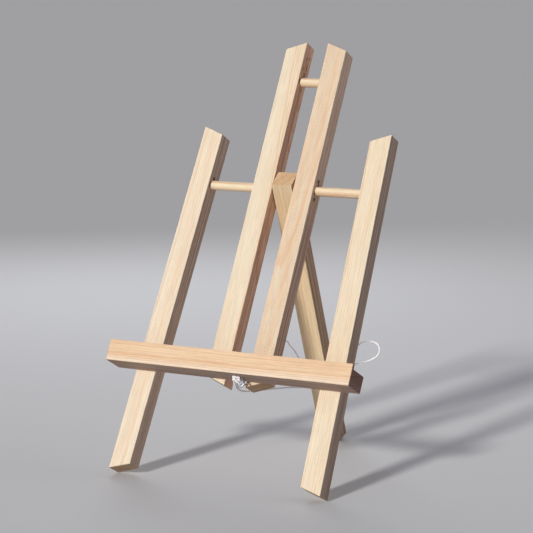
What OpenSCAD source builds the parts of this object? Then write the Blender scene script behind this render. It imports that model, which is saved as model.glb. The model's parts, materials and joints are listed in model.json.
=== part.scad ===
// Tabletop display easel made of slim pine bars.
// Two outer legs and two masts stand in one leaning front frame, held together by
// a ledge, a short top dowel and a long cross dowel. A rear leg swings on the cross
// dowel between the masts. A thin cord, doubled from a screw eye under the ledge
// through a hole in the rear leg, limits how far the rear leg opens.
// X runs to the right, Y to the back and Z up. The floor is Z = 0, and the origin is
// under the middle of the standing easel.

/* [Bars] */
// Width of every wooden bar, seen from the front
bar_w = 19; // [17:0.5:20]
// Depth of the four front bars
bar_d = 15.5; // [15:0.25:17]
// Length of each front bar along its middle line
bar_len = 306; // [290:1:320]
// Width of the small flats along the eased long edges
ease = 0.6; // [0.2:0.1:1.2]

/* [Front frame] */
// Lean of the front frame back from upright, in degrees
lean = 27.5; // [24:0.5:30]
// Clear gap between the two masts
mast_gap = 20.4; // [20.2:0.1:22]
// Height of the masts' lower ends up the frame
mast_low = 82.5; // [76:0.5:84]
// Angle of the saw cuts across the masts' ends, in degrees
mast_cut = 20; // [10:1:25]
// Distance from the middle to an outer leg's middle line at its foot
leg_spread = 90.5; // [85:0.5:96]
// Lean of each outer leg towards the middle, in degrees
leg_splay = 1.75; // [1:0.25:3]
// Angle of the saw cuts across the outer legs' ends, in degrees
leg_cut = 18; // [10:1:25]

/* [Ledge] */
// Length of the ledge
ledge_len = 230; // [220:1:250]
// Depth of the ledge, front to back
ledge_d = 23; // [20:0.5:26]
// Height of the ledge behind its lip
ledge_h = 14.5; // [12:0.5:18]
// Height of the lip above the seat
lip_h = 4; // [2:0.5:6]
// Thickness of the lip
lip_t = 3; // [2:0.5:5]
// Height of the ledge's underside up the frame
ledge_v = 84; // [80:0.5:90]

/* [Dowels] */
// Diameter of both dowels
dowel_d = 8; // [6:0.5:9]
// Height of the cross dowel up the frame
cross_v = 257.5; // [250:0.5:262]
// Height of the top dowel up the frame
top_v = 357; // [340:1:365]
// Depth to which each dowel's end is seated in a bar
dowel_seat = 10; // [6:0.5:12]

/* [Rear leg] */
// Width of the rear leg
rear_w = 19; // [17:0.5:19.6]
// Depth of the rear leg
rear_d = 15; // [14:0.25:15.25]
// Length of the rear leg below its hinge
rear_len = 248; // [246:0.5:252]
// Length of the rear leg above its hinge, on its middle line
rear_top = 10.4; // [10:0.2:16]
// Angle of the saw cut across the rear leg's top, in degrees
rear_cut = 18; // [0:1:20]

/* [Hardware and cord] */
// Distance of the screw eye to the right of the middle
eye_x = 11.5; // [9:0.5:14]
// Diameter of the screw eye's wire
eye_wire = 1.6; // [1.4:0.1:1.8]
// Diameter of the limit cord
cord_d = 1.6; // [1.2:0.1:1.8]
// Distance of the rear leg's cord hole below the hinge
cord_hole_drop = 180; // [176:1:184]

/* [Hidden] */
$fn = 64;
over = 1;                 // overlap of cutting shapes past the faces they cut
snug = 0.02;              // radial clearance of a fixed round fit
running = 0.08;           // radial clearance of the rear leg on its dowel

pine = [0.93, 0.84, 0.70];
peach_pine = [0.92, 0.76, 0.58];
dowel_wood = [0.93, 0.83, 0.63];
steel = [0.62, 0.63, 0.65];
cord_white = [0.93, 0.90, 0.90];

mast_x = (mast_gap + bar_w) / 2;
// Lowest corner of an outer leg, measured up the frame, on its eased outer edge
foot_v = (bar_w / 2 - ease) * (sin(leg_splay) - tan(leg_cut) * cos(leg_splay));
frame_z = bar_d * sin(lean) - foot_v * cos(lean);

// The hinge's place in the frame, before the frame is shifted along Y
hinge_y_raw = cross_v * sin(lean) + bar_d / 2 * cos(lean);
hinge_z = frame_z + cross_v * cos(lean) - bar_d / 2 * sin(lean);
// The rear leg leans back by the angle that puts its lower front edge on the floor
rear_reach = norm([rear_len, rear_d / 2]);
rear_angle = acos(hinge_z / rear_reach) + atan(rear_d / 2 / rear_len);
// The frame is shifted so that the origin is midway between the front and rear feet
front_y_raw = foot_v * sin(lean);
back_y_raw = hinge_y_raw + rear_len * sin(rear_angle) + rear_d / 2 * cos(rear_angle);
frame_y = -(front_y_raw + back_y_raw) / 2;
hinge_y = hinge_y_raw + frame_y;

top_dowel_len = mast_gap + 2 * dowel_seat;
cross_dowel_half = leg_spread - cross_v * tan(leg_splay) - bar_w / 2 + dowel_seat;

// Countersunk screws that hold the ledge, driven from the back of each bar
screw_v = ledge_v + ledge_h / 2;
screw_r = 1.6;
screw_head_r = 3.2;
screw_recess = 0.3;       // depth of the head below the bar's back face
screw_len = 30;
screw_tip = 4;
screw_hole_gap = 0.1;     // radial clearance of the hole through the bar
slot_w = 0.7;
slot_l = 3.6;
slot_depth = 1;
screw_leg_x = leg_spread - screw_v * tan(leg_splay);
SCREW_X = [-screw_leg_x, -mast_x, mast_x, screw_leg_x];

// Screw eye under the ledge
eye_r = 3.2;              // radius of the ring at the middle of its wire
eye_drop = 4.8;           // from the ledge's underside down to the ring's middle
eye_thread = 10;          // length of the shank inside the ledge
hitch_angle = 135;        // place on the ring where the cord is tied
hitch_r = (eye_wire + cord_d) / 2 + 0.05;
knot_d = 3.2;
KNOT = [6.4, -14.1, 82];  // knot's middle: across, behind the frame's front, up the frame

cord_hole_r = 1.5;
cord_sides = 8;
cord_steps = 2;           // rings of the cord's tube for each stretch of its route
// Route of the cord, from the knot through the ring and the rear leg and back to it
CORD_ROUTE = [
    [5.8, -85.6, 89.6], [8.8, -86.6, 87.8], [10.7, -86.3, 86.1], [11.9, -84.5, 84.4],
    [12, -80.4, 83], [9.3, -74.5, 82], [7.5, -66, 80.6], [7, -56, 82],
    [9, -42, 90], [10.5, -26, 100], [10, -12, 106.5], [7, 3, 106],
    [3, 16, 100], [-1.5, 34, 91], [-8, 55, 79], [-14, 68, 71.5],
    [-15.5, 76, 67.5], [-10, 79.9, 66.2], [0, 80, 66.2], [10, 80, 66.2],
    [18, 80, 68.3], [27, 80, 72.5], [36, 80, 76.6], [46, 81, 79.6],
    [53, 84, 84], [54, 87, 89.5], [50, 90, 93.8], [42, 91, 95.2],
    [35, 86, 93], [30, 68, 81], [24, 42, 68.5], [19, 22, 65],
    [19, 4, 67], [20.5, -20, 71], [16, -42, 73.2], [8, -55, 73.3],
    [4.8, -68, 75], [4.6, -77, 79], [5.2, -82.1, 83.5], [6, -84.8, 87.4]
];

// ---------------------------------------------------------------- shared shapes

// Cross-section of a bar: centred in X, front face at Y = 0, with eased corners
module bar_section(w, d)
    polygon([
        [-w / 2 + ease, 0], [w / 2 - ease, 0], [w / 2, ease], [w / 2, d - ease],
        [w / 2 - ease, d], [-w / 2 + ease, d], [-w / 2, d - ease], [-w / 2, ease]
    ]);

// Front bar standing on Z = 0, with both ends sawn so that its side towards
// side * X is the longer one
module front_bar(cut, side) {
    rise = side * bar_w / 2 * tan(cut);
    intersection() {
        translate([0, 0, -bar_w])
            linear_extrude(bar_len + 2 * bar_w)
                bar_section(bar_w, bar_d);
        translate([0, bar_d + over, 0])
            rotate([90, 0, 0])
                linear_extrude(bar_d + 2 * over)
                    polygon([
                        [-bar_w / 2, rise], [bar_w / 2, -rise],
                        [bar_w / 2, bar_len + rise], [-bar_w / 2, bar_len - rise]
                    ]);
    }
}

// Children are placed in the leaning frame: X across, Y behind its front, Z up it
module in_frame()
    translate([0, frame_y, frame_z])
        rotate([-lean, 0, 0])
            children();

// Rod or bore along X through the bars' mid-depth, at height v up the frame
module cross_rod(v, half, r)
    translate([-half, bar_d / 2, v])
        rotate([0, 90, 0])
            cylinder(r = r, h = 2 * half);

// Profile of a countersunk screw, with its head's face at Y = 0 and its tip down
module screw_profile(gap, tip)
    polygon([
        [0, -screw_len], [screw_r + gap, -screw_len + tip],
        [screw_r + gap, -(screw_head_r - screw_r)], [screw_head_r + gap, 0], [0, 0]
    ]);

// Children are placed on a screw's axis, with Z leaving the bar's back face
module at_screw(x)
    translate([x, bar_d - screw_recess, screw_v])
        rotate([-90, 0, 0])
            children();

// Hole for one ledge screw through a bar, with the countersink open at the back
module screw_hole(x)
    at_screw(x) {
        rotate_extrude()
            screw_profile(screw_hole_gap, 0);
        cylinder(r = screw_head_r + screw_hole_gap, h = screw_recess + over);
    }

function unit(v) = v / norm(v);

// Catmull-Rom curve through the points p, with n steps for each stretch
function point_at(p, i) = p[max(0, min(len(p) - 1, i))];
function curve_at(a, b, c, d, t) =
    (2 * b + (c - a) * t + (2 * a - 5 * b + 4 * c - d) * t * t
        + (3 * b - a - 3 * c + d) * t * t * t) / 2;
function smooth_path(p, n) = [
    for (i = [0 : len(p) - 2], k = [0 : n - 1])
        curve_at(point_at(p, i - 1), p[i], p[i + 1], point_at(p, i + 2), k / n),
    p[len(p) - 1]
];
function tangent(p, i) = unit(point_at(p, i + 1) - point_at(p, i - 1));
function square_to(v, t) = unit(v - (v * t) * t);

// Sides of the path's rings, each turned as little as possible from the last
function ring_sides(p) = [
    for (i = 0, s = square_to([0, 0, 1], tangent(p, 0)); i < len(p);
        s = square_to(s, tangent(p, i + 1)), i = i + 1) s
];

// Round tube along the path p
module tube(p, d, sides) {
    s = ring_sides(p);
    points = [
        for (i = [0 : len(p) - 1], k = [0 : sides - 1])
            p[i] + d / 2 * (cos(360 * k / sides) * s[i]
                + sin(360 * k / sides) * cross(tangent(p, i), s[i]))
    ];
    walls = [
        for (i = [0 : len(p) - 2], k = [0 : sides - 1])
            let (next = (k + 1) % sides)
                [i * sides + k, (i + 1) * sides + k, (i + 1) * sides + next, i * sides + next]
    ];
    first_cap = [for (k = [0 : sides - 1]) k];
    last_cap = [for (k = [sides - 1 : -1 : 0]) (len(p) - 1) * sides + k];
    polyhedron(points, concat([first_cap, last_cap], walls), convexity = 10);
}

// ---------------------------------------------------------------- wooden pieces

// Outer leg on the left (side = -1) or right (side = 1), longer on its outer side
module outer_leg(side)
    color(pine)
        in_frame()
            difference() {
                translate([side * leg_spread, 0, 0])
                    rotate([0, -side * leg_splay, 0])
                        front_bar(leg_cut, side);
                cross_rod(cross_v, cross_dowel_half + snug, dowel_d / 2 + snug);
                screw_hole(side * screw_leg_x);
            }

module left_front_leg() outer_leg(-1);
module right_front_leg() outer_leg(1);

// Mast on the left (side = -1) or right (side = 1), longer on its inner side
module mast(side)
    color(pine)
        in_frame()
            difference() {
                translate([side * mast_x, 0, mast_low])
                    front_bar(mast_cut, -side);
                cross_rod(cross_v, cross_dowel_half, dowel_d / 2 + snug);
                cross_rod(top_v, top_dowel_len / 2 + snug, dowel_d / 2 + snug);
                screw_hole(side * mast_x);
            }

module left_mast() mast(-1);
module right_mast() mast(1);

// Ledge with a thin lip along its front, and pilot holes for the screws and the eye
module ledge()
    color(peach_pine)
        in_frame()
            difference() {
                translate([-ledge_len / 2, 0, ledge_v])
                    rotate([90, 0, 90])
                        linear_extrude(ledge_len)
                            polygon([
                                [-ledge_d + ease, 0], [-ease, 0], [0, ease],
                                [0, ledge_h - ease], [-ease, ledge_h],
                                [-ledge_d + lip_t, ledge_h],
                                [-ledge_d + lip_t, ledge_h + lip_h - ease],
                                [-ledge_d + lip_t - ease, ledge_h + lip_h],
                                [-ledge_d + ease, ledge_h + lip_h],
                                [-ledge_d, ledge_h + lip_h - ease], [-ledge_d, ease]
                            ]);
                for (x = SCREW_X)
                    at_screw(x)
                        rotate_extrude()
                            screw_profile(snug, screw_tip);
                translate([eye_x, -ledge_d / 2, ledge_v - over])
                    cylinder(d = eye_wire + 2 * snug, h = eye_thread + over);
            }

// Rear leg, built upright on its hinge and then leant back until its foot is down
module rear_leg()
    color(pine)
        translate([0, hinge_y, hinge_z])
            rotate([rear_angle, 0, 0])
                difference() {
                    intersection() {
                        translate([0, -rear_d / 2, -rear_len])
                            linear_extrude(rear_len + rear_top + rear_d)
                                bar_section(rear_w, rear_d);
                        rotate([90, 0, 90])
                            linear_extrude(rear_w + 2 * over, center = true)
                                polygon([
                                    [-rear_d / 2, -rear_len], [rear_d / 2, -rear_len],
                                    [rear_d / 2, rear_top + rear_d / 2 * tan(rear_cut)],
                                    [-rear_d / 2, rear_top - rear_d / 2 * tan(rear_cut)]
                                ]);
                    }
                    rotate([0, 90, 0])
                        cylinder(d = dowel_d + 2 * running, h = rear_w + 2 * over, center = true);
                    translate([0, 0, -cord_hole_drop])
                        rotate([0, 90, 0])
                            cylinder(r = cord_hole_r, h = rear_w + 2 * over, center = true);
                }

// Short dowel between the masts, near their tops
module top_dowel()
    color(dowel_wood)
        in_frame()
            cross_rod(top_v, top_dowel_len / 2, dowel_d / 2);

// Long dowel through both masts and the rear leg, seated in the outer legs
module cross_dowel()
    color(dowel_wood)
        in_frame()
            cross_rod(cross_v, cross_dowel_half, dowel_d / 2);

// ---------------------------------------------------------------- hardware and cord

// Four countersunk cross-slotted screws that hold the ledge to the bars
module ledge_screws()
    color(steel)
        in_frame()
            for (x = SCREW_X)
                at_screw(x)
                    difference() {
                        rotate_extrude()
                            screw_profile(0, screw_tip);
                        for (turn = [0, 90])
                            rotate([0, 0, turn])
                                cube([slot_l, slot_w, 2 * slot_depth], center = true);
                    }

// Screw eye: a wire ring facing front and back on a shank in the ledge's underside
module screw_eye()
    color(steel)
        in_frame()
            translate([eye_x, -ledge_d / 2, ledge_v - eye_drop]) {
                rotate([90, 0, 0])
                    rotate_extrude()
                        translate([eye_r, 0])
                            circle(d = eye_wire);
                translate([0, 0, eye_r])
                    cylinder(d = eye_wire, h = eye_drop - eye_r + eye_thread);
            }

// Knot at the ring, with the hitch of cord that goes round the ring's wire
module cord_knot()
    color(cord_white)
        in_frame() {
            translate(KNOT)
                sphere(d = knot_d);
            translate([eye_x, -ledge_d / 2, ledge_v - eye_drop])
                rotate([0, -hitch_angle, 0])
                    translate([eye_r, 0, 0])
                        rotate_extrude()
                            translate([hitch_r, 0])
                                circle(d = cord_d);
        }

// Cord doubled between the screw eye and the rear leg, with its slack in a loop
module limit_cord()
    color(cord_white)
        tube(smooth_path(CORD_ROUTE, cord_steps), cord_d, cord_sides);

left_front_leg();
right_front_leg();
left_mast();
right_mast();
ledge();
rear_leg();
top_dowel();
cross_dowel();
ledge_screws();
screw_eye();
cord_knot();
limit_cord();
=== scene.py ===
"""The looks of a tabletop display easel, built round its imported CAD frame.

Every bar, the ledge, both dowels, the screws, the screw eye, the knot and the cord are
rebuilt here as detailed meshes with the CAD parts' own sizes, and replace the CAD nodes.
Lengths are written in millimetres and turned into metres by MM.
"""

import json
import math

import bmesh
import bpy
from mathutils import Matrix, Vector, noise


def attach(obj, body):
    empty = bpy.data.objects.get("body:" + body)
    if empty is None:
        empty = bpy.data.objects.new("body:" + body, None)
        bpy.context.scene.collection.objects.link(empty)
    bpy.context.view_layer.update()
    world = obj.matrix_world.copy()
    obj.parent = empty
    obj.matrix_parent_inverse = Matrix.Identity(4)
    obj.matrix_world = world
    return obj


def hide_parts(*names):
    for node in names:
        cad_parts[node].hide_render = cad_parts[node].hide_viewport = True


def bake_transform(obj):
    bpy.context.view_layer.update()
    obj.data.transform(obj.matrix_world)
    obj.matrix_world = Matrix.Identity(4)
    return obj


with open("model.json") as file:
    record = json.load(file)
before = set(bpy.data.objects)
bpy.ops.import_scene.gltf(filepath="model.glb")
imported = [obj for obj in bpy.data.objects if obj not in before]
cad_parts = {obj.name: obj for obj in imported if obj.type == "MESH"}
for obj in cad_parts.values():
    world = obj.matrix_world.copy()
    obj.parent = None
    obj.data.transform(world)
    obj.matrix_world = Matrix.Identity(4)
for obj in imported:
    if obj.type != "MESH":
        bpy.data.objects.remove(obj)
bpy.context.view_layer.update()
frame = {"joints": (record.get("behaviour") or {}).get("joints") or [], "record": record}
MM = 0.001

# ---------------------------------------------------------------- sizes, as in the CAD source

BAR_W = 19
BAR_D = 15.5
BAR_LEN = 306
BAR_EASE = 0.75
LEG_SPREAD = 90.5
LEG_SPLAY = math.radians(1.75)
LEG_CUT = math.tan(math.radians(18))
MAST_X = 19.7
MAST_LOW = 82.5
MAST_CUT = math.tan(math.radians(20))
LEDGE_LEN = 230
LEDGE_D = 23
LEDGE_H = 14.5
LIP_H = 4
LIP_T = 3
LEDGE_V = 84
DOWEL_D = 8
DOWEL_PLAY = 0.1
CROSS_V = 257.5
TOP_V = 357
DOWEL_SEAT = 10
TOP_DOWEL_LEN = 40.4
REAR_W = 19
REAR_D = 15
REAR_LEN = 248
REAR_TOP = 10.4
REAR_CUT = math.tan(math.radians(18))
CORD_HOLE_DROP = 180
CORD_HOLE_R = 1.5
CORD_D = 1.6
EYE_X = 11.5
EYE_WIRE = 1.6
EYE_R = 3.2
EYE_DROP = 4.8
EYE_THREAD = 10
HITCH_ANGLE = math.radians(135)
KNOT = (6.4, -14.1, 82)
SCREW_V = LEDGE_V + LEDGE_H / 2
SCREW_R = 1.6
SCREW_HEAD_R = 3.2
SCREW_RECESS = 0.3
SCREW_LEN = 30
SCREW_TIP = 4
CROSS_HALF = LEG_SPREAD - CROSS_V * math.tan(LEG_SPLAY) - BAR_W / 2 + DOWEL_SEAT
SCREW_LEG_X = LEG_SPREAD - SCREW_V * math.tan(LEG_SPLAY)

# Route of the cord, from the knot through the ring and the rear leg and back to it
CORD_ROUTE = [
    (5.8, -85.6, 89.6), (8.8, -86.6, 87.8), (10.7, -86.3, 86.1), (11.9, -84.5, 84.4),
    (12, -80.4, 83), (9.3, -74.5, 82), (7.5, -66, 80.6), (7, -56, 82),
    (9, -42, 90), (10.5, -26, 100), (10, -12, 106.5), (7, 3, 106),
    (3, 16, 100), (-1.5, 34, 91), (-8, 55, 79), (-14, 68, 71.5),
    (-15.5, 76, 67.5), (-10, 79.9, 66.2), (0, 80, 66.2), (10, 80, 66.2),
    (18, 80, 68.3), (27, 80, 72.5), (36, 80, 76.6), (46, 81, 79.6),
    (53, 84, 84), (54, 87, 89.5), (50, 90, 93.8), (42, 91, 95.2),
    (35, 86, 93), (30, 68, 81), (24, 42, 68.5), (19, 22, 65),
    (19, 4, 67), (20.5, -20, 71), (16, -42, 73.2), (8, -55, 73.3),
    (4.8, -68, 75), (4.6, -77, 79), (5.2, -82.1, 83.5), (6, -84.8, 87.4),
]

# ---------------------------------------------------------------- places, from the frame

HINGE = Vector(frame["joints"][0]["pos_m"])
SEAT_AXIS = Vector(frame["record"]["mounts"][0]["axis"])
LEAN = math.atan2(SEAT_AXIS.y, SEAT_AXIS.z)
REAR_LEAN = (
    math.acos(HINGE.z / MM / math.hypot(REAR_LEN, REAR_D / 2)) + math.atan(REAR_D / 2 / REAR_LEN)
)


def place(x, y, z):
    """A translation by x, y and z millimetres."""
    return Matrix.Translation(Vector((x, y, z)) * MM)


def turn(degrees, axis):
    return Matrix.Rotation(math.radians(degrees), 4, axis)


# Space of the leaning frame: X across, Y behind its front, Z up it
IN_FRAME = (
    Matrix.Translation(HINGE) @ Matrix.Rotation(-LEAN, 4, "X") @ place(0, -BAR_D / 2, -CROSS_V)
)
IN_REAR_LEG = Matrix.Translation(HINGE) @ Matrix.Rotation(REAR_LEAN, 4, "X")
# Turns a piece's length, its local Z, to lie along X, with its local X behind the frame's front
ALONG_X = Matrix(((0, 0, 1, 0), (1, 0, 0, 0), (0, 1, 0, 0), (0, 0, 0, 1)))


def make_camera():
    aim = Vector((51, -110.1, 187.7)) * MM
    azimuth = math.radians(29.34)
    elevation = math.radians(8.21)
    distance = 1703.5 * MM
    away = Vector((
        math.sin(azimuth) * math.cos(elevation),
        -math.cos(azimuth) * math.cos(elevation),
        math.sin(elevation),
    ))
    camera = bpy.data.objects.new("camera", bpy.data.cameras.new("camera"))
    camera.location = aim + away * distance
    camera.rotation_euler = (-away).to_track_quat("-Z", "Y").to_euler()
    camera.data.lens = 145.2
    camera.data.sensor_width = 36
    bpy.context.scene.collection.objects.link(camera)
    bpy.context.scene.camera = camera


make_camera()

# ---------------------------------------------------------------- mesh tools


def smooth_path(points, steps):
    """Catmull-Rom curve through the points, with so many steps for each stretch."""
    points = [Vector(p) for p in points]
    ends = [points[0]] + points + [points[-1]]
    path = []
    for a, b, c, d in zip(ends, ends[1:], ends[2:], ends[3:]):
        for k in range(steps):
            t = k / steps
            path.append(
                (2 * b + (c - a) * t + (2 * a - 5 * b + 4 * c - d) * t * t
                 + (3 * b - a - 3 * c + d) * t ** 3) / 2
            )
    return path + [points[-1]]


def even_path(path, step):
    """The same path with points a step apart."""
    even = [path[0]]
    left = step
    for a, b in zip(path, path[1:]):
        span = (b - a).length
        while left <= span:
            even.append(a.lerp(b, left / span))
            left += step
        left -= span
    return even + [path[-1]]


def new_object(name, mesh, matrix=None):
    piece = bpy.data.objects.new(name, mesh)
    bpy.context.scene.collection.objects.link(piece)
    if matrix is not None:
        piece.matrix_world = matrix
    return piece


def mesh_of(points, faces, name="mesh"):
    """A mesh from points in millimetres."""
    mesh = bpy.data.meshes.new(name)
    mesh.from_pydata([Vector(p) * MM for p in points], [], faces)
    mesh.validate()
    return mesh


def sweep(path, sides, radius_at, closed=False):
    """Points and faces of a tube along path. radius_at gets the angle and the distance along."""
    count = len(path)
    points = []
    side = None
    distance = 0
    for i, p in enumerate(path):
        if closed:
            tangent = (path[(i + 1) % count] - path[i - 1]).normalized()
        else:
            tangent = (path[min(i + 1, count - 1)] - path[max(i - 1, 0)]).normalized()
        if side is None:
            side = tangent.orthogonal()
        side = (side - side.dot(tangent) * tangent).normalized()
        other = tangent.cross(side)
        if i:
            distance += (p - path[i - 1]).length
        for k in range(sides):
            angle = 2 * math.pi * k / sides
            radius = radius_at(angle, distance)
            points.append(p + radius * (math.cos(angle) * side + math.sin(angle) * other))
    faces = []
    for i in range(count if closed else count - 1):
        j = (i + 1) % count
        for k in range(sides):
            n = (k + 1) % sides
            faces.append((i * sides + k, i * sides + n, j * sides + n, j * sides + k))
    if not closed:
        faces.append(tuple(reversed(range(sides))))
        faces.append(tuple(range((count - 1) * sides, count * sides)))
    return points, faces


def lathe(profile, sides=48):
    """Points and faces of the profile's (radius, height) points, turned about Z."""
    points = []
    rings = []
    for radius, height in profile:
        if radius == 0:
            rings.append([len(points)] * sides)
            points.append(Vector((0, 0, height)))
        else:
            rings.append(list(range(len(points), len(points) + sides)))
            for k in range(sides):
                angle = 2 * math.pi * k / sides
                points.append(Vector((radius * math.cos(angle), radius * math.sin(angle), height)))
    faces = []
    for low, high in zip(rings, rings[1:]):
        for k in range(sides):
            n = (k + 1) % sides
            corners = [low[k], low[n], high[n], high[k]]
            faces.append(tuple(dict.fromkeys(corners)))
    return points, faces


def finish_surface(piece, sharp=38):
    """Smooth shading that stays flat on flat faces and sharp at sharp edges."""
    piece.data.shade_smooth()
    piece.data.set_sharp_from_angle(angle=math.radians(sharp))
    weighted = piece.modifiers.new("even_normals", "WEIGHTED_NORMAL")
    weighted.keep_sharp = True
    weighted.weight = 100


def cut(piece, cutters):
    """Cuts the (points, faces) shapes, given in the piece's own space, out of the piece."""
    tool_mesh = bpy.data.meshes.new("tool")
    build = bmesh.new()
    for points, faces in cutters:
        made = [build.verts.new(Vector(p) * MM) for p in points]
        for face in faces:
            if len(face) > 2:
                build.faces.new([made[i] for i in face])
    bmesh.ops.remove_doubles(build, verts=build.verts, dist=1e-7)
    bmesh.ops.recalc_face_normals(build, faces=build.faces)
    build.to_mesh(tool_mesh)
    build.free()
    tool = new_object("tool", tool_mesh, piece.matrix_world.copy())
    boolean = piece.modifiers.new("cut", "BOOLEAN")
    boolean.operation = "DIFFERENCE"
    boolean.solver = "EXACT"
    boolean.use_self = True
    boolean.object = tool
    bpy.context.view_layer.update()
    graph = bpy.context.evaluated_depsgraph_get()
    result = bpy.data.meshes.new_from_object(piece.evaluated_get(graph))
    piece.modifiers.remove(boolean)
    piece.data = result
    bpy.data.objects.remove(tool)
    bpy.data.meshes.remove(tool_mesh)


def moved(shape, matrix):
    """The (points, faces) shape moved by a matrix whose lengths are in metres."""
    points, faces = shape
    return [(matrix @ (Vector(p) * MM)) / MM for p in points], faces


def rounded(corners, radius, steps=4):
    """Closed outline with each corner of a polygon rounded to that radius."""
    outline = []
    count = len(corners)
    for i in range(count):
        here = Vector(corners[i])
        before = (Vector(corners[i - 1]) - here).normalized()
        after = (Vector(corners[(i + 1) % count]) - here).normalized()
        half = before.angle(after) / 2
        reach = radius / math.tan(half)
        middle = here + (before + after).normalized() * radius / math.sin(half)
        start = here + before * reach - middle
        end = here + after * reach - middle
        angle = start.angle(end)
        for k in range(steps + 1):
            t = k / steps
            spoke = start * math.sin((1 - t) * angle) + end * math.sin(t * angle)
            outline.append(middle + spoke / math.sin(angle))
    return outline


def stick(outline, low, high, rows, chamfer=0.3, waver=0.05, seed=0):
    """Points and faces of a bar along Z. low and high give its ends' heights at a point (x, y).
    Its ends have a small chamfer, and its faces waver a little, as planed wood does."""
    count = len(outline)
    normals = []
    for i in range(count):
        along = outline[(i + 1) % count] - outline[i - 1]
        normals.append(Vector((along.y, -along.x)).normalized())
    rings = []
    levels = [(0, chamfer, 0)] + [(k / rows, 0, 1) for k in range(rows + 1)] + [(1, chamfer, 0)]
    points = []
    for share, inset, inner in levels:
        for p, n in zip(outline, normals):
            q = p - n * inset
            bottom = low(q.x, q.y) + chamfer * inner
            top = high(q.x, q.y) - chamfer * inner
            z = bottom + (top - bottom) * share
            q = q + n * waver * noise.noise(Vector((q.x * 0.12 + seed, q.y * 0.12, z * 0.035)))
            points.append(Vector((q.x, q.y, z)))
        rings.append(len(rings) * count)
    faces = []
    for a, b in zip(rings, rings[1:]):
        for k in range(count):
            n = (k + 1) % count
            faces.append((a + k, a + n, b + n, b + k))
    faces.append(tuple(reversed(range(count))))
    faces.append(tuple(range(rings[-1], rings[-1] + count)))
    return points, faces


def rod_hole(radius, start, end, entry=0.35):
    """A hole's cutter along Z from start to end, widened a little at its open end, end."""
    return lathe([
        (0, start), (radius, start), (radius, end - entry), (radius + entry, end),
        (radius + entry, end + 2), (0, end + 2),
    ], 40)


def through_hole(radius, length, flare, reach, sides=40):
    """A cutter along Z for a hole through a piece of that length, widened by flare over the
    last reach at both faces."""
    half = length / 2
    past = half + 2.5
    return lathe([
        (0, -past), (radius + flare, -past), (radius + flare, -half), (radius, -half + reach),
        (radius, half - reach), (radius + flare, half), (radius + flare, past), (0, past),
    ], sides)


def chip(length, width, depth, seed):
    """A torn splinter's cutter, lying along Z in the face X = 0 and reaching to X = -depth."""
    sides, rows = 7, 6
    points = []
    for i in range(rows + 1):
        t = i / rows
        swell = math.sin(math.pi * t) ** 0.6
        for k in range(sides):
            angle = 2 * math.pi * k / sides
            rough = 1 + 0.55 * noise.noise(Vector((seed * 3.1 + k * 1.7, i * 1.3, seed)))
            shift = 0.25 * width * noise.noise(Vector((i * 0.9, seed, 2.5)))
            points.append(Vector((
                depth * swell * rough * math.cos(angle),
                width / 2 * swell * rough * math.sin(angle) + shift,
                (t - 0.5) * length,
            )))
    faces = []
    for i in range(rows):
        for k in range(sides):
            n = (k + 1) % sides
            faces.append((i * sides + k, i * sides + n, (i + 1) * sides + n, (i + 1) * sides + k))
    return points, faces


# ---------------------------------------------------------------- material tools


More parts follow.
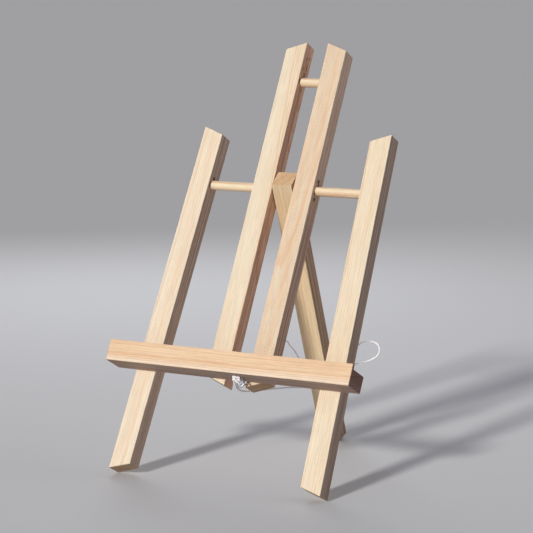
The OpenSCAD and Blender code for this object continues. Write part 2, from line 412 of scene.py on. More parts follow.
class Shader:
    """A material's node tree, with short ways to add nodes to it."""

    def __init__(self, name):
        self.material = bpy.data.materials.new(name)
        self.material.use_nodes = True
        self.tree = self.material.node_tree
        self.tree.nodes.clear()
        self.surface = self.add("ShaderNodeBsdfPrincipled")
        output = self.add("ShaderNodeOutputMaterial")
        self.tree.links.new(self.surface.outputs["BSDF"], output.inputs["Surface"])

    def add(self, kind, **settings):
        node = self.tree.nodes.new(kind)
        for key, value in settings.items():
            setattr(node, key, value)
        return node

    def put(self, value, socket):
        """Links an output to the socket, or sets the socket to a constant."""
        if isinstance(value, bpy.types.NodeSocket):
            self.tree.links.new(value, socket)
        else:
            socket.default_value = value

    def math(self, operation, *values, clamp=False):
        node = self.add("ShaderNodeMath", operation=operation, use_clamp=clamp)
        for value, socket in zip(values, node.inputs):
            self.put(value, socket)
        return node.outputs[0]

    def step(self, value, low, high):
        """Smooth step from 0 at low to 1 at high."""
        node = self.add("ShaderNodeMapRange", interpolation_type="SMOOTHSTEP")
        self.put(value, node.inputs["Value"])
        node.inputs["From Min"].default_value = low
        node.inputs["From Max"].default_value = high
        return node.outputs["Result"]

    def mix(self, share, a, b, blend="MIX"):
        node = self.add("ShaderNodeMix", data_type="RGBA", blend_type=blend)
        self.put(share, node.inputs["Factor"])
        self.put(a, node.inputs["A"])
        self.put(b, node.inputs["B"])
        return node.outputs["Result"]

    def split(self, vector):
        """A vector's x, y and z."""
        node = self.add("ShaderNodeSeparateXYZ")
        self.put(vector, node.inputs[0])
        return node.outputs

    def dimmed(self, colour, factor):
        """The colour times a number."""
        grey = self.add("ShaderNodeCombineColor")
        for socket in grey.inputs[:3]:
            self.put(factor, socket)
        return self.mix(1.0, colour, grey.outputs[0], "MULTIPLY")

    def scaled(self, vector, scale, shift=(0, 0, 0)):
        node = self.add("ShaderNodeVectorMath", operation="MULTIPLY_ADD")
        self.put(vector, node.inputs[0])
        node.inputs[1].default_value = scale
        node.inputs[2].default_value = shift
        return node.outputs[0]

    def noise(self, vector, detail=3, roughness=0.55, channel="Factor", scale=1):
        node = self.add("ShaderNodeTexNoise")
        self.put(vector, node.inputs["Vector"])
        node.inputs["Scale"].default_value = scale
        node.inputs["Detail"].default_value = detail
        node.inputs["Roughness"].default_value = roughness
        return node.outputs[channel] if channel in node.outputs else node.outputs[0]

    def bump(self, height, distance, under=None):
        node = self.add("ShaderNodeBump")
        node.inputs["Strength"].default_value = 1
        node.inputs["Distance"].default_value = distance
        self.put(height, node.inputs["Height"])
        if under is not None:
            self.put(under, node.inputs["Normal"])
        return node.outputs["Normal"]

    def set(self, **values):
        """Sets the surface's sockets, named with _ for a space."""
        for key, value in values.items():
            self.put(value, self.surface.inputs[key.replace("_", " ").title().replace("Ior", "IOR")])
        return self.material


LATEWOOD = (0.70, 0.44, 0.26)
RESIN = (0.46, 0.27, 0.14)
END_RINGS = (0.42, 0.24, 0.13)
# Torn wood, near black: also painted shadow in the chips and beside the dowels' entries
TORN_WOOD_AND_SHADOW = (0.10, 0.055, 0.035)
# Tints of the sawn faces, partly their own rough wood and partly painted shade, mauve as a face in cool
# shade looks
SAWN_AND_SHADE_PALE = (0.98, 0.88, 0.92)
SAWN_AND_SHADE_DARK = (0.53, 0.415, 0.42)


def rgb(red, green, blue):
    return (red, green, blue, 1)


def growth_rings(s, place_in, pith, pitch, slope, seed):
    """How much of the surface is latewood, the dark part of each growth ring, and the distance
    from the pith. pith is the rings' middle, pitch a ring's usual width, and slope how fast the
    pith drifts away across X and Y along the grain."""
    apart = s.split(place_in)
    waver = s.split(
        s.noise(s.scaled(place_in, (0.03, 0.03, 0.006), (seed, seed * 2, 0)), 2, channel="Color")
    )
    away_x = s.math("MULTIPLY_ADD", waver[0], 4.0, s.math("SUBTRACT", apart[0], pith[0]))
    away_y = s.math("MULTIPLY_ADD", waver[1], 4.0, s.math("SUBTRACT", apart[1], pith[1]))
    away_x = s.math("MULTIPLY_ADD", apart[2], slope[0], away_x)
    away_y = s.math("MULTIPLY_ADD", apart[2], slope[1], away_y)
    radius = s.math(
        "SQRT", s.math("ADD", s.math("MULTIPLY", away_x, away_x), s.math("MULTIPLY", away_y, away_y))
    )
    shake = s.noise(s.scaled(place_in, (0.35, 0.35, 0.05), (0, 0, seed)), 3)
    radius = s.math("ADD", radius, s.math("MULTIPLY", shake, 0.8))
    uneven = s.add("ShaderNodeTexNoise", noise_dimensions="1D")
    s.put(s.math("MULTIPLY_ADD", radius, 0.21 / pitch, seed), uneven.inputs["W"])
    uneven.inputs["Scale"].default_value = 1
    uneven.inputs["Detail"].default_value = 1
    growth = s.math("MULTIPLY_ADD", uneven.outputs[0], 2.6, s.math("DIVIDE", radius, pitch))
    season = s.math("FRACT", growth)
    strength = s.add("ShaderNodeTexWhiteNoise", noise_dimensions="1D")
    s.put(s.math("ADD", s.math("FLOOR", growth), seed), strength.inputs["W"])
    rise = s.math("POWER", season, 2.0)
    fall = s.math("SUBTRACT", 1, s.step(season, 0.88, 1.0))
    share = s.math("MULTIPLY_ADD", strength.outputs["Value"], 1.1, 0.4)
    return s.math("MULTIPLY", s.math("MULTIPLY", rise, fall), share, clamp=True), radius


def curly_figure(s, place_in, bend, seed):
    """Patches of fine ripples across the grain."""
    along = s.math("MULTIPLY", s.split(place_in)[2], 3.3)
    ripples = s.math("SINE", s.math("MULTIPLY_ADD", bend, 26.0, along))
    patches = s.noise(s.scaled(place_in, (0.16, 0.16, 0.05), (7, seed, 0)), 2)
    return s.math("MULTIPLY", ripples, s.step(patches, 0.4, 0.6))


def streak_mask(s, place_in, middle, half_width, seed):
    """A stripe along the grain round x = middle, which sways and fades along its way."""
    sway = s.noise(s.scaled(place_in, (0, 0, 0.016), (middle, seed, 0)), 2)
    across = s.math("SUBTRACT", s.split(place_in)[0], middle + 3.0)
    away = s.math("ABSOLUTE", s.math("MULTIPLY_ADD", sway, 6.0, across))
    fade = s.step(s.noise(s.scaled(place_in, (0.2, 0.2, 0.02), (seed, middle, 4)), 3), 0.3, 0.55)
    return s.math("MULTIPLY", s.step(away, half_width * 1.5, half_width * 0.3), fade)


def sawn_and_painted_shade(s, place_in, seed, tone):
    """The tint of a face that is rough from the saw, with dark torn lines along the grain. It is painted
    shade too: it darkens the face and tints it mauve, as a face in cool shade looks.
    """
    lines = s.noise(s.scaled(place_in, (0.62, 0.62, 0.006), (seed * 2, 3, 0)), 4, 0.68)
    tear = s.noise(s.scaled(place_in, (1.3, 1.3, 0.10), (seed, 3, 9)), 4, 0.6)
    lines = s.math(
        "MULTIPLY_ADD", s.step(tear, 0.5, 0.75), 0.35, s.step(lines, 0.38, 0.66), clamp=True
    )
    return s.mix(lines, rgb(*[c * tone for c in SAWN_AND_SHADE_PALE]), rgb(*[c * tone for c in SAWN_AND_SHADE_DARK]))


def torn_and_shadow_mask(s, place_in, torn_and_shadow_spots, seed):
    """1 inside the given ellipses, each (y, z, half width, half height) in a side face. They mark torn
    wood and painted shadow in the chips and beside the dowels' entries.
    """
    apart = s.split(place_in)
    ragged = s.noise(s.scaled(place_in, (1.1, 1.1, 0.7), (seed, 0, seed)), 3)
    mask = 0.0
    for y, z, half_width, half_height in torn_and_shadow_spots:
        across = s.math("DIVIDE", s.math("SUBTRACT", apart[1], y), half_width)
        along = s.math("DIVIDE", s.math("SUBTRACT", apart[2], z), half_height)
        away = s.math("ADD", s.math("MULTIPLY", across, across), s.math("MULTIPLY", along, along))
        away = s.math("MULTIPLY_ADD", ragged, 1.6, away)
        mask = s.math("MAXIMUM", mask, s.math("SUBTRACT", 1, s.step(away, 1.2, 1.7)))
    return mask


def wood(
    name, seed, size, pith, pitch, early, slope=(0, 0), contrast=0.6, ripple=0.02, sawn="X",
    sawn_and_shade_tone=1.0, end=(0.62, 0.53, 0.45), heart=None, streaks=(), torn_and_shadow_spots=(), band=None,
):
    """Solid pine with its grain along the piece's own Z, in millimetres from its middle line.

    size: width and depth, for the wear and painted highlight along the edges
    pith, pitch, slope: as in growth_rings
    early: the pale wood's lighter and deeper colour
    contrast: how strongly the latewood shows
    ripple: how strongly the curly figure shows
    sawn: the faces left rough from the saw, X for both sides, -Y for the underside, or None. Those faces
    are also darkened as painted shade
    sawn_and_shade_tone: how light those faces are, which sets how much painted shade they get
    end: tint of the end grain, partly its own darker colour and partly painted light and shade: dark on
    the ends that stand in shade, light on the rear leg's lit top
    heart: distance from the pith inside which the rings are strong
    streaks: (x, half width, colour) stripes along the front
    spots: dark torn ellipses in the right side, as in torn_and_shadow_mask, which also paint the shadow
    in the chips and beside the dowels' entries
    band: (from, to, colour) of the sapwood that the piece turns to across its Y
    """
    s = Shader(name)
    coordinates = s.add("ShaderNodeTexCoord")
    place_in = s.scaled(coordinates.outputs["Object"], (1 / MM, 1 / MM, 1 / MM))
    x, y, z = s.split(place_in)
    facing = s.split(coordinates.outputs["Normal"])
    end_grain = s.step(s.math("ABSOLUTE", facing[2]), 0.45, 0.8)
    latewood, radius = growth_rings(s, place_in, pith, pitch, slope, seed)
    if heart:
        inside = s.math("MULTIPLY_ADD", s.step(radius, heart + 3, heart), 0.8, 0.2)
        latewood = s.math("MULTIPLY", latewood, inside)

    # Fibres, resin streaks and broad clouds of tone, all drawn out along the grain
    fibre = s.noise(s.scaled(place_in, (1.7, 1.7, 0.035), (seed, 0, 0)), 5, 0.62)
    hair = s.noise(s.scaled(place_in, (6.5, 6.5, 0.16), (0, seed, 0)), 3, 0.6)
    cloud = s.noise(s.scaled(place_in, (0.12, 0.12, 0.013), (seed * 3, 0, 0)), 3)
    bend = s.noise(s.scaled(place_in, (0.10, 0.10, 0.13), (seed, 7, 0)), 2)
    curl = curly_figure(s, place_in, bend, seed)
    resin = s.step(s.noise(s.scaled(place_in, (2.6, 2.6, 0.045), (seed, seed, 5)), 2, 0.5), 0.66, 0.76)

    colour = s.mix(s.step(cloud, 0.36, 0.66), rgb(*early[0]), rgb(*early[1]))
    for middle, half_width, tint in streaks:
        stripe = streak_mask(s, place_in, middle, half_width, seed)
        colour = s.mix(s.math("MULTIPLY", stripe, 0.8), colour, rgb(*tint))
    if band:
        level = s.math("MULTIPLY_ADD", cloud, 1.5, y)
        colour = s.mix(s.step(level, band[0], band[1]), colour, rgb(*band[2]))
    ring_share = s.math("MULTIPLY", latewood, contrast, clamp=True)
    colour = s.mix(ring_share, colour, rgb(*LATEWOOD))
    end_ring = s.math("MULTIPLY", s.math("MULTIPLY", latewood, end_grain), 0.75, clamp=True)
    colour = s.mix(end_ring, colour, rgb(*END_RINGS))
    thread = s.noise(s.scaled(place_in, (0.95, 0.95, 0.07), (seed, 1, 2)), 3, 0.7)
    tone = s.math("MULTIPLY_ADD", fibre, 0.24, 0.76)
    tone = s.math("MULTIPLY_ADD", s.step(thread, 0.3, 0.7), 0.12, s.math("ADD", tone, 0.06))
    tone = s.math("ADD", tone, s.math("MULTIPLY_ADD", hair, 0.14, -0.07))
    tone = s.math("MULTIPLY_ADD", curl, ripple, tone)
    colour = s.dimmed(colour, tone)
    colour = s.mix(s.math("MULTIPLY", resin, 0.25), colour, rgb(*RESIN))
    # The end grain's tint, with painted shade on ends that stand in shade and painted light on a lit end
    colour = s.mix(end_grain, colour, rgb(*end), "MULTIPLY")

    # The faces that are left rough from the saw, darkened and tinted mauve as painted shade
    sawn_and_shaded_face = 0.0
    if sawn:
        side = s.math("ABSOLUTE", facing[0]) if sawn == "X" else s.math("MULTIPLY", facing[1], -1)
        sawn_and_shaded_face = s.step(side, 0.6, 0.9)
        sawn_and_shade_tint = sawn_and_painted_shade(s, place_in, seed, sawn_and_shade_tone)
        colour = s.mix(sawn_and_shaded_face, colour, s.mix(1.0, colour, sawn_and_shade_tint, "MULTIPLY"))
    # Torn wood, darkened almost to black as painted shadow in the chips and beside the dowels
    if torn_and_shadow_spots:
        torn = s.math("MULTIPLY", torn_and_shadow_mask(s, place_in, torn_and_shadow_spots, seed), s.step(facing[0], 0.2, 0.6))
        colour = s.mix(s.math("MULTIPLY", torn, 0.85), colour, rgb(*TORN_WOOD_AND_SHADOW))

    # Handling has polished and lightened the long edges, and the lightening is also a painted highlight
    # on them
    edge = s.math("SUBTRACT", 1, s.step(edge_distance(s, x, y, size), 0.35, 1.1))
    patchy = s.step(s.noise(s.scaled(place_in, (0.3, 0.3, 0.09)), 3), 0.3, 0.55)
    edge = s.math("MULTIPLY", s.math("MULTIPLY", edge, patchy), 0.6)
    colour = s.mix(edge, colour, rgb(*[min(1, c * 1.1) for c in early[0]]))

    rough = s.math("MULTIPLY_ADD", fibre, 0.22, 0.50)
    rough = s.math("SUBTRACT", rough, s.math("MULTIPLY", latewood, 0.08))
    rough = s.math("MULTIPLY_ADD", s.math("MAXIMUM", end_grain, sawn_and_shaded_face), 0.14, rough)
    saw_marks = s.math("SINE", s.math("MULTIPLY", s.math("MULTIPLY_ADD", bend, 2.0, x), 6.1))
    planer = s.math("SINE", s.math("MULTIPLY_ADD", z, 3.6, s.math("MULTIPLY", bend, 6)))
    height = s.math("MULTIPLY_ADD", hair, 0.55, fibre)
    height = s.math("MULTIPLY_ADD", latewood, 0.35, height)
    height = s.math("MULTIPLY_ADD", resin, -0.6, height)
    height = s.math("MULTIPLY_ADD", s.math("MULTIPLY", end_grain, saw_marks), 0.5, height)
    height = s.math("MULTIPLY_ADD", s.math("MULTIPLY", sawn_and_shaded_face, planer), 0.16, height)
    height = s.math("MULTIPLY_ADD", s.math("MULTIPLY", sawn_and_shaded_face, hair), 0.9, height)
    return s.set(
        base_color=colour, roughness=rough, specular_ior_level=0.32,
        normal=s.bump(height, 0.05 * MM),
    )


def edge_distance(s, x, y, size):
    """How far a point is from the nearest long edge of a bar of that width and depth."""
    gap_x = s.math("SUBTRACT", size[0] / 2, s.math("ABSOLUTE", x))
    gap_y = s.math("SUBTRACT", size[1] / 2, s.math("ABSOLUTE", y))
    return s.math(
        "SQRT", s.math("ADD", s.math("MULTIPLY", gap_x, gap_x), s.math("MULTIPLY", gap_y, gap_y))
    )


# ---------------------------------------------------------------- bars


def bar_outline(width, depth):
    """A bar's section, with its long edges eased."""
    x, y = width / 2, depth / 2
    return rounded([(-x, -y), (x, -y), (x, y), (-x, y)], BAR_EASE)


def dress(piece, body, node, material):
    """Gives a finished piece its material, and lets it stand for its CAD node."""
    piece.data.materials.clear()
    piece.data.materials.append(material)
    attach(piece, body)
    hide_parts(node)
    return piece


def screw_recess_cutter(x, along_bar):
    """The countersunk screw hole's cutter in a front bar, in the bar's own space."""
    profile = [
        (0, -SCREW_LEN), (SCREW_R + 0.1, -SCREW_LEN), (SCREW_R + 0.1, -(SCREW_HEAD_R - SCREW_R) - 0.1),
        (SCREW_HEAD_R + 0.12, 0), (SCREW_HEAD_R + 0.35, SCREW_RECESS), (SCREW_HEAD_R + 0.35, 2), (0, 2),
    ]
    return moved(lathe(profile), place(x, BAR_D / 2 - SCREW_RECESS, along_bar) @ turn(-90, "X"))


def front_bar(name, matrix, rise, cutters, material, seed):
    """One of the four front bars. rise is how its end cuts climb along local X."""
    shape = stick(
        bar_outline(BAR_W, BAR_D),
        lambda x, y: -x * rise,
        lambda x, y: BAR_LEN + x * rise,
        34, seed=seed,
    )
    piece = new_object(name + "_wood", mesh_of(*shape, name), matrix)
    cut(piece, cutters)
    finish_surface(piece)
    return dress(piece, "frame", name, material)


def outer_leg(side, material, chips, seed):
    name = "left_front_leg" if side < 0 else "right_front_leg"
    local = place(side * LEG_SPREAD, BAR_D / 2, 0) @ Matrix.Rotation(-side * LEG_SPLAY, 4, "Y")
    # The cross dowel's blind seat, seen from the leg
    inward = local.inverted() @ place(0, BAR_D / 2, CROSS_V) @ turn(-90 * side, "Y")
    seat = rod_hole(DOWEL_D / 2 + DOWEL_PLAY, -CROSS_HALF - 0.3, -CROSS_HALF + DOWEL_SEAT + 0.3)
    cutters = [moved(seat, inward), screw_recess_cutter(0, SCREW_V / math.cos(LEG_SPLAY))] + chips
    return front_bar(name, IN_FRAME @ local, side * LEG_CUT, cutters, material, seed)


def mast(side, material, chips, seed):
    name = "left_mast" if side < 0 else "right_mast"
    local = place(side * MAST_X, BAR_D / 2, MAST_LOW)
    through = through_hole(DOWEL_D / 2 + DOWEL_PLAY, BAR_W, 0.35, 0.35)
    cross = moved(through, place(0, 0, CROSS_V - MAST_LOW) @ turn(90, "Y"))
    seat = rod_hole(DOWEL_D / 2 + DOWEL_PLAY, BAR_W / 2 - DOWEL_SEAT - 0.3, BAR_W / 2)
    top = moved(seat, place(0, 0, TOP_V - MAST_LOW) @ turn(-90 * side, "Y"))
    cutters = [cross, top, screw_recess_cutter(0, SCREW_V - MAST_LOW)] + chips
    return front_bar(name, IN_FRAME @ local, -side * MAST_CUT, cutters, material, seed)


def chip_at(x_face, y, z, length, width, depth, seed):
    """A torn chip in a bar's side face, at local X = x_face."""
    return moved(chip(length, width, depth, seed), place(x_face, y, z))


def make_bars():
    """The outer legs and the masts. Spots and chips are where the drilling has torn the wood; the spots
    also paint the shadow in the chips and beside the dowels' entries.
    """
    half = BAR_W / 2
    size = (BAR_W, BAR_D)
    cross = CROSS_V - MAST_LOW
    top = TOP_V - MAST_LOW
    orange = (0.80, 0.58, 0.38)

    pine = wood(
        "left_leg_pine", 11, size, pith=(-46, 40), pitch=1.9,
        early=((0.835, 0.74, 0.575), (0.81, 0.68, 0.51)),
        # The sides' tone darkens them as painted shade
        slope=(0, 0.012), contrast=0.5, sawn_and_shade_tone=0.9,
        streaks=[(2.0, 1.8, (0.82, 0.635, 0.445))],
        # The dark marks paint torn wood and the shadow in the chip and beside the dowel's entry
        torn_and_shadow_spots=[(-0.8, CROSS_V + 6.0, 2.2, 2.0), (-4.6, CROSS_V - 0.4, 1.8, 3.4)],
    )
    outer_leg(-1, pine, [chip_at(half, -0.8, CROSS_V + 5.6, 4.0, 2.6, 1.3, 1)], 11)

    pine = wood(
        "right_leg_pine", 23, size, pith=(-70, -16), pitch=2.3,
        early=((0.82, 0.72, 0.545), (0.80, 0.67, 0.485)),
        # The sides' tone darkens this leg's sides further, as painted shade
        contrast=0.48, sawn_and_shade_tone=0.67, streaks=[(-7.4, 0.9, orange), (1.5, 0.5, orange)],
    )
    outer_leg(1, pine, [], 23)

    pine = wood(
        "left_mast_pine", 37, size, pith=(42, 6), pitch=1.5,
        early=((0.81, 0.71, 0.54), (0.79, 0.66, 0.48)),
        # The sides' tone keeps this mast's sides lighter, as painted light bounced between the masts
        slope=(0.058, 0), heart=25, contrast=1.2, ripple=0.012, sawn_and_shade_tone=1.22,
        streaks=[(9.0, 1.2, orange)],
        # The dark marks paint torn wood and the shadow in the chips and beside the dowel's entry
        torn_and_shadow_spots=[
            (-4.8, top - 0.4, 1.9, 3.4), (0.8, top + 7, 1.0, 2.6), (2.2, top + 15, 0.8, 3.4),
            (-1.6, top + 22, 0.7, 2.4), (-3.0, top + 12, 0.6, 1.8), (3.4, top + 24, 0.8, 2.0),
            (1.4, top - 7, 0.8, 2.0),
        ],
    )
    mast(-1, pine, [
        chip_at(half, 0.8, top + 6.8, 5.0, 1.4, 0.8, 4),
        chip_at(half, 2.2, top + 15, 6.0, 1.0, 0.5, 6),
    ], 37)

    pine = wood(
        "right_mast_pine", 41, size, pith=(-4, 44), pitch=2.2,
        early=((0.75, 0.63, 0.465), (0.725, 0.565, 0.405)),
        # The sides' tone sets the painted shade on the sides
        slope=(0, 0.035), contrast=0.6, ripple=0.06, sawn_and_shade_tone=1.06,
        streaks=[(3.4, 2.2, (0.75, 0.53, 0.34)), (-8.6, 1.3, orange)],
        # The dark marks paint torn wood and the shadow in the chips and beside the dowel's entry
        torn_and_shadow_spots=[
            (-1.4, cross + 8.2, 2.6, 2.2), (-0.2, cross + 5.4, 1.8, 1.5),
            (-1.4, cross - 8.0, 2.4, 2.2), (-3.6, cross - 3.2, 1.6, 2.0),
        ],
    )
    mast(1, pine, [
        chip_at(half, -1.2, cross + 7.4, 5.6, 3.4, 1.4, 2),
        chip_at(half, -1.4, cross - 7.6, 5.0, 2.8, 1.2, 3),
    ], 41)


def make_rear_leg():
    shape = stick(
        bar_outline(REAR_W, REAR_D),
        lambda x, y: -REAR_LEN,
        lambda x, y: REAR_TOP + y * REAR_CUT,
        28, seed=53,
    )
    leg = new_object("rear_leg_wood", mesh_of(*shape, "rear_leg"), IN_REAR_LEG)
    bore = through_hole(DOWEL_D / 2 + 0.08, REAR_W, 0.32, 0.32)
    cord_hole = through_hole(CORD_HOLE_R, REAR_W, 0.4, 0.5, 28)
    cut(leg, [
        moved(bore, turn(90, "Y")),
        moved(cord_hole, place(0, 0, -CORD_HOLE_DROP) @ turn(90, "Y")),
    ])
    finish_surface(leg)
    material = wood(
        "rear_leg_pine", 59, (REAR_W, REAR_D), pith=(-24, 22), pitch=2.1,
        early=((0.80, 0.63, 0.40), (0.70, 0.55, 0.34)),
        # The sides' tone darkens them as painted shade, and the end tint lightens the top's end grain as
        # painted light
        contrast=0.75, sawn_and_shade_tone=0.80, end=(0.98, 0.88, 0.82),
    )
    return dress(leg, "rear_leg", "rear_leg", material)


def make_ledge():
    # Across the section, X is how far behind the frame's front and Y how far up from the underside
    corners = [
        (-LEDGE_D, 0), (0, 0), (0, LEDGE_H), (-LEDGE_D + LIP_T, LEDGE_H),
        (-LEDGE_D + LIP_T, LEDGE_H + LIP_H), (-LEDGE_D, LEDGE_H + LIP_H),
    ]
    shape = stick(
        rounded(corners, 0.7), lambda x, y: -LEDGE_LEN / 2, lambda x, y: LEDGE_LEN / 2, 26, seed=61,
    )
    matrix = IN_FRAME @ place(0, 0, LEDGE_V) @ ALONG_X
    ledge = new_object("ledge_wood", mesh_of(*shape, "ledge"), matrix)
    pilot = rod_hole(EYE_WIRE / 2 + 0.12, -EYE_THREAD - 0.5, 0, 0.3)
    cut(ledge, [moved(pilot, place(-LEDGE_D / 2, 0, EYE_X) @ turn(90, "X"))])
    finish_surface(ledge)
    # The size reaches past the ledge's own, so that its edges have no worn, highlighted line. Its
    # darkened underside is painted shade, and its ends' dark tint is partly painted shade.
    material = wood(
        "ledge_pine", 71, (2 * LEDGE_D, 40), pith=(-30, 60), pitch=2.4,
        early=((0.825, 0.62, 0.415), (0.78, 0.54, 0.34)),
        contrast=1.0, sawn="-Y", sawn_and_shade_tone=0.62, end=(0.32, 0.245, 0.28),
        band=(7.5, 1.5, (0.84, 0.71, 0.55)),
    )
    return dress(ledge, "frame", "ledge", material)


def make_dowel(name, length, v, seed):
    """A dowel along X with chamfered ends."""
    r = DOWEL_D / 2
    rings = 24
    profile = [(0, -length / 2), (r - 0.6, -length / 2)]
    profile += [(r, -length / 2 + 0.6 + (length - 1.2) * k / rings) for k in range(rings + 1)]
    profile += [(r - 0.6, length / 2), (0, length / 2)]
    dowel = new_object(
        name + "_wood", mesh_of(*lathe(profile, 48), name), IN_FRAME @ place(0, BAR_D / 2, v) @ ALONG_X
    )
    finish_surface(dowel)
    material = wood(
        name + "_wood", seed, (40, 40), pith=(14, 30), pitch=3.2,
        early=((0.87, 0.75, 0.53), (0.83, 0.69, 0.465)), contrast=0.8, sawn=None,
    )
    return dress(dowel, "frame", name, material)


# ---------------------------------------------------------------- hardware


def threaded(core, crest, pitch, length, tip, sides=20):
    """Points and faces of a screw thread along -Z from Z = 0, with a pointed end."""
    def radius(angle, depth):
        phase = (depth / pitch - angle / (2 * math.pi)) % 1
        ridge = max(0, 1 - abs(phase - 0.5) * 4)
        fade = min(1, max(0, depth / pitch)) * min(1, max(0, (length - depth) / tip))
        taper = min(1, 0.12 + (length - depth) / tip * 0.88)
        return (core + (crest - core) * ridge * fade) * taper
    rows = int(length / pitch * 7)
    points = []
    for i in range(rows + 1):
        depth = length * i / rows
        for k in range(sides):
            angle = 2 * math.pi * k / sides
            r = radius(angle, depth)
            points.append(Vector((r * math.cos(angle), r * math.sin(angle), -depth)))
    faces = []
    for i in range(rows):
        for k in range(sides):
            n = (k + 1) % sides
            faces.append((i * sides + k, (i + 1) * sides + k, (i + 1) * sides + n, i * sides + n))
    faces.append(tuple(range(sides)))
    faces.append(tuple(reversed(range(rows * sides, (rows + 1) * sides))))
    return points, faces


def joined(shapes):
    """Several (points, faces) shapes as one."""
    points, faces = [], []
    for some_points, some_faces in shapes:
        base = len(points)
        points += list(some_points)
        faces += [tuple(i + base for i in face) for face in some_faces]
    return points, faces


def steel(name, base, seed):
    s = Shader(name)
    place_in = s.scaled(s.add("ShaderNodeTexCoord").outputs["Object"], (1 / MM, 1 / MM, 1 / MM))
    crystal = s.noise(s.scaled(place_in, (2.4, 2.4, 2.4), (seed, 0, 0)), 3)
    scratch = s.noise(s.scaled(place_in, (9, 1.2, 9), (0, seed, 0)), 4)
    dull = s.step(s.noise(s.scaled(place_in, (0.6, 0.6, 0.6), (0, 0, seed)), 2), 0.4, 0.65)
    colour = s.mix(s.step(crystal, 0.3, 0.7), rgb(*base), rgb(*[c * 0.82 for c in base]))
    colour = s.mix(s.math("MULTIPLY", dull, 0.35), colour, rgb(0.36, 0.36, 0.37))
    rough = s.math("ADD", s.math("MULTIPLY_ADD", scratch, 0.22, 0.16), s.math("MULTIPLY", dull, 0.14))
    height = s.math("ADD", scratch, s.math("MULTIPLY", crystal, 0.6))
    return s.set(base_color=colour, metallic=1.0, roughness=rough, normal=s.bump(height, 0.006 * MM))


def make_ledge_screws():
    """Four countersunk screws with cross recesses, as one piece."""
    head = lathe([
        (0, 0.02), (SCREW_HEAD_R - 0.45, 0.0), (SCREW_HEAD_R - 0.08, -0.06), (SCREW_HEAD_R, -0.2),
        (SCREW_HEAD_R - 0.02, -0.32), (SCREW_R - 0.1, -(SCREW_HEAD_R - SCREW_R) - 0.35),
        (SCREW_R - 0.35, -(SCREW_HEAD_R - SCREW_R) - 1.2), (0, -(SCREW_HEAD_R - SCREW_R) - 1.2),
    ], 40)
    shank = moved(threaded(1.15, SCREW_R, 1.25, SCREW_LEN - 2.4, SCREW_TIP), place(0, 0, -2.4))
    one = new_object("one_screw", mesh_of(*head, "one_screw"))
    wings = []
    for angle in (0, 90):
        top, low, half = 1.9, 0.5, 0.36
        corners = [
            (-top, -half, 0.4), (top, -half, 0.4), (top, half, 0.4), (-top, half, 0.4),
            (-low, -half * 0.6, -1.7), (low, -half * 0.6, -1.7), (low, half * 0.6, -1.7),
            (-low, half * 0.6, -1.7),
        ]
        sides = [(3, 2, 1, 0), (4, 5, 6, 7), (0, 1, 5, 4), (1, 2, 6, 5), (2, 3, 7, 6), (3, 0, 4, 7)]
        wings.append(moved((corners, sides), turn(angle, "Z")))
    cut(one, wings)
    head_points = [v.co / MM for v in one.data.vertices]
    head_faces = [tuple(p.vertices) for p in one.data.polygons]
    bpy.data.objects.remove(one)
    shapes = []
    turns = (12, 71, 38, 104)
    for x, spin in zip((-SCREW_LEG_X, -MAST_X, MAST_X, SCREW_LEG_X), turns):
        at = place(x, BAR_D - SCREW_RECESS, SCREW_V) @ turn(-90, "X") @ turn(spin, "Z")
        shapes.append(moved((head_points, head_faces), at))
        shapes.append(moved(shank, at))
    screws = new_object("ledge_screws_steel", mesh_of(*joined(shapes), "ledge_screws"), IN_FRAME)
    finish_surface(screws, 30)
    zinc = steel("screw_zinc", (0.62, 0.61, 0.58), 3)
    return dress(screws, "frame", "ledge_screws", zinc)


def make_screw_eye():
    """Wire bent to a ring under the ledge, on a threaded shank. It is built in the ring's
    plane, X across and Z up it, with the ring's middle at the origin."""
    start_angle = 62
    shank_low = EYE_R + 1.7
    path = [(0, 0, EYE_DROP + 0.4), (0, 0, shank_low + 0.6), (0.1, 0, shank_low)]
    path += [(0.62, 0, EYE_R + 0.75)]
    for degrees in range(start_angle, start_angle - 327, -12):
        angle = math.radians(degrees)
        path.append((EYE_R * math.cos(angle), 0, EYE_R * math.sin(angle)))
    line = even_path(smooth_path(path, 8), 0.35)
    wire = sweep(line, 18, lambda angle, distance: EYE_WIRE / 2)
    thread = moved(
        threaded(EYE_WIRE / 2 - 0.18, EYE_WIRE / 2 + 0.08, 0.95, EYE_THREAD, 3, 20),
        place(0, 0, EYE_DROP) @ turn(180, "X"),
    )
    at = IN_FRAME @ place(EYE_X, -LEDGE_D / 2, LEDGE_V - EYE_DROP)
    eye = new_object("screw_eye_steel", mesh_of(*joined([wire, thread]), "screw_eye"), at)
    finish_surface(eye, 50)
    return dress(eye, "frame", "screw_eye", steel("eye_zinc", (0.66, 0.68, 0.72), 7))


# ---------------------------------------------------------------- cord


def cord_radius(pitch=4.2, strands=3):
    """Radius of a laid cord, whose strands wind round it."""
    def radius(angle, distance):
        lobe = abs(math.cos(strands / 2 * (angle - 2 * math.pi * distance / pitch)))
        return CORD_D / 2 * (0.86 + 0.14 * lobe)
    return radius


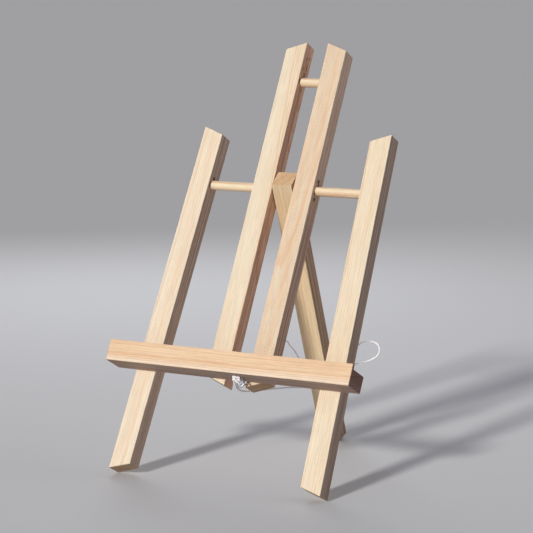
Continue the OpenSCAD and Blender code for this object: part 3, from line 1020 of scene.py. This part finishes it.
def cord_material(name):
    s = Shader(name)
    place_in = s.scaled(s.add("ShaderNodeTexCoord").outputs["Object"], (1 / MM, 1 / MM, 1 / MM))
    fuzz = s.noise(s.scaled(place_in, (7, 7, 7)), 4, 0.65)
    yarn = s.noise(s.scaled(place_in, (2.2, 2.2, 2.2)), 2)
    soil = s.step(s.noise(s.scaled(place_in, (0.11, 0.11, 0.11)), 2), 0.45, 0.75)
    colour = s.mix(s.step(fuzz, 0.3, 0.7), rgb(0.88, 0.85, 0.87), rgb(0.96, 0.945, 0.95))
    colour = s.mix(s.math("MULTIPLY", soil, 0.2), colour, rgb(0.76, 0.70, 0.69))
    height = s.math("ADD", fuzz, s.math("MULTIPLY", yarn, 0.6))
    return s.set(
        base_color=colour, roughness=s.math("MULTIPLY_ADD", fuzz, 0.2, 0.66), specular_ior_level=0.25,
        sheen_weight=0.35, sheen_roughness=0.4, normal=s.bump(height, 0.05 * MM),
    )


CORD_WHITE = cord_material("cord_white")


def make_knot():
    """The hitch round the ring's wire and the knot beside it, as one piece in the frame's space."""
    ring_middle = Vector((EYE_X, -LEDGE_D / 2, LEDGE_V - EYE_DROP))
    outward = Vector((math.cos(HITCH_ANGLE), 0, math.sin(HITCH_ANGLE)))
    wire = ring_middle + outward * EYE_R
    along = Vector((-math.sin(HITCH_ANGLE), 0, math.cos(HITCH_ANGLE)))
    front = Vector((0, -1, 0))
    reach = (EYE_WIRE + CORD_D) / 2 + 0.05
    knot = Vector(KNOT)
    wraps = 2
    steps = 20
    hitch = [knot.lerp(wire, 0.35) - along * 0.6]
    for i in range(wraps * steps + 1):
        t = i / steps
        angle = 2 * math.pi * (t + 0.12)
        hitch.append(
            wire + reach * (math.cos(angle) * outward + math.sin(angle) * front)
            + along * (t - wraps / 2) * CORD_D * 0.95
        )
    hitch.append(knot.lerp(wire, 0.3) + along * 0.4)
    shapes = [sweep(even_path(smooth_path(hitch, 4), 0.3), 12, cord_radius())]
    # A trefoil, tilted so that its lobes show from in front
    size = 0.55
    tilt = Matrix.Rotation(math.radians(-60), 3, "X") @ Matrix.Rotation(math.radians(20), 3, "Y")
    loop = []
    for i in range(72):
        t = 2 * math.pi * i / 72
        loop.append(knot + tilt @ (size * Vector((
            math.sin(t) + 2 * math.sin(2 * t), math.cos(t) - 2 * math.cos(2 * t), -1.25 * math.sin(3 * t)
        ))))
    shapes.append(sweep(loop, 12, cord_radius(), closed=True))
    for tail in ([(8.6, -14.6, 83.0), (11.4, -14.0, 83.1)], [(5.6, -12.9, 82.9), (4.4, -11.6, 82.8)]):
        line = even_path(smooth_path([knot] + tail, 6), 0.3)
        shapes.append(sweep(line, 12, cord_radius()))
    piece = new_object("cord_knot_yarn", mesh_of(*joined(shapes), "cord_knot"), IN_FRAME)
    piece.data.shade_smooth()
    return dress(piece, "frame", "cord_knot", CORD_WHITE)


def make_cord(knot):
    """The cord, doubled between the screw eye and the rear leg."""
    route = even_path(smooth_path(CORD_ROUTE, 16), 0.5)
    cord = new_object("limit_cord_yarn", mesh_of(*sweep(route, 12, cord_radius()), "limit_cord"))
    cord.data.shade_smooth()
    cord.data.materials.append(CORD_WHITE)
    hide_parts("limit_cord")
    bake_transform(cord)
    return cord


make_cord(make_knot())
make_bars()
make_rear_leg()
make_ledge()
make_dowel("top_dowel", TOP_DOWEL_LEN, TOP_V, 83)
make_dowel("cross_dowel", 2 * CROSS_HALF, CROSS_V, 97)
make_ledge_screws()
make_screw_eye()

# ---------------------------------------------------------------- studio


def make_floor():
    s = Shader("floor_grey")
    s.set(base_color=rgb(0.62, 0.63, 0.64), roughness=0.75, specular_ior_level=0.2)
    floor = new_object("floor", mesh_of(
        [(-30000, -30000, 0), (30000, -30000, 0), (30000, 30000, 0), (-30000, 30000, 0)], [(0, 1, 2, 3)],
        "floor",
    ))
    floor.data.materials.append(s.material)


def make_sun(name, azimuth, elevation, strength, softness, colour):
    """A lamp as far as the sun. Its light travels towards azimuth, counted from +Y to +X."""
    lamp = bpy.data.lights.new(name, "SUN")
    lamp.energy = strength
    lamp.angle = math.radians(softness)
    lamp.color = colour
    sun = bpy.data.objects.new(name, lamp)
    a, e = math.radians(azimuth), math.radians(elevation)
    travel = Vector((math.sin(a) * math.cos(e), math.cos(a) * math.cos(e), -math.sin(e)))
    sun.rotation_euler = travel.to_track_quat("-Z", "Y").to_euler()
    bpy.context.scene.collection.objects.link(sun)


def make_world():
    """Soft light from all round, brightest where it meets the floor, so no horizon shows."""
    world = bpy.data.worlds.new("studio")
    world.use_nodes = True
    tree = world.node_tree
    background = tree.nodes["Background"]
    direction = tree.nodes.new("ShaderNodeTexCoord").outputs["Generated"]
    apart = tree.nodes.new("ShaderNodeSeparateXYZ")
    tree.links.new(direction, apart.inputs[0])
    ramp = tree.nodes.new("ShaderNodeValToRGB")
    ramp.color_ramp.interpolation = "EASE"
    ramp.color_ramp.elements.new(0.22)
    for stop, (height, level) in zip(ramp.color_ramp.elements, ((0, 0.34), (0.22, 0.19), (1, 0.25))):
        stop.position = height
        stop.color = (level, level, level, 1)
    tree.links.new(apart.outputs["Z"], ramp.inputs["Fac"])
    tree.links.new(ramp.outputs["Color"], background.inputs["Strength"])
    background.inputs["Color"].default_value = (0.95, 0.915, 1.0, 1)
    bpy.context.scene.world = world


def make_softbox(name, spot, aim, size, power, colour):
    """A square lamp at spot that faces aim, both in millimetres."""
    lamp = bpy.data.lights.new(name, "AREA")
    lamp.energy = power
    lamp.size = size * MM
    lamp.color = colour
    box = bpy.data.objects.new(name, lamp)
    box.location = Vector(spot) * MM
    box.rotation_euler = (Vector(aim) - Vector(spot)).to_track_quat("-Z", "Y").to_euler()
    bpy.context.scene.collection.objects.link(box)


make_floor()
make_softbox("fill", (550, 300, 620), (0, 0, 300), 400, 0.5, (0.86, 0.9, 1.0))
make_softbox("back", (-750, 900, 800), (0, 0, 150), 600, 4.0, (0.93, 0.95, 1.0))
make_sun("key", 5.5, 26, 2.6, 7, (1.0, 0.975, 0.945))
make_world()
bpy.context.scene.view_settings.view_transform = "Standard"
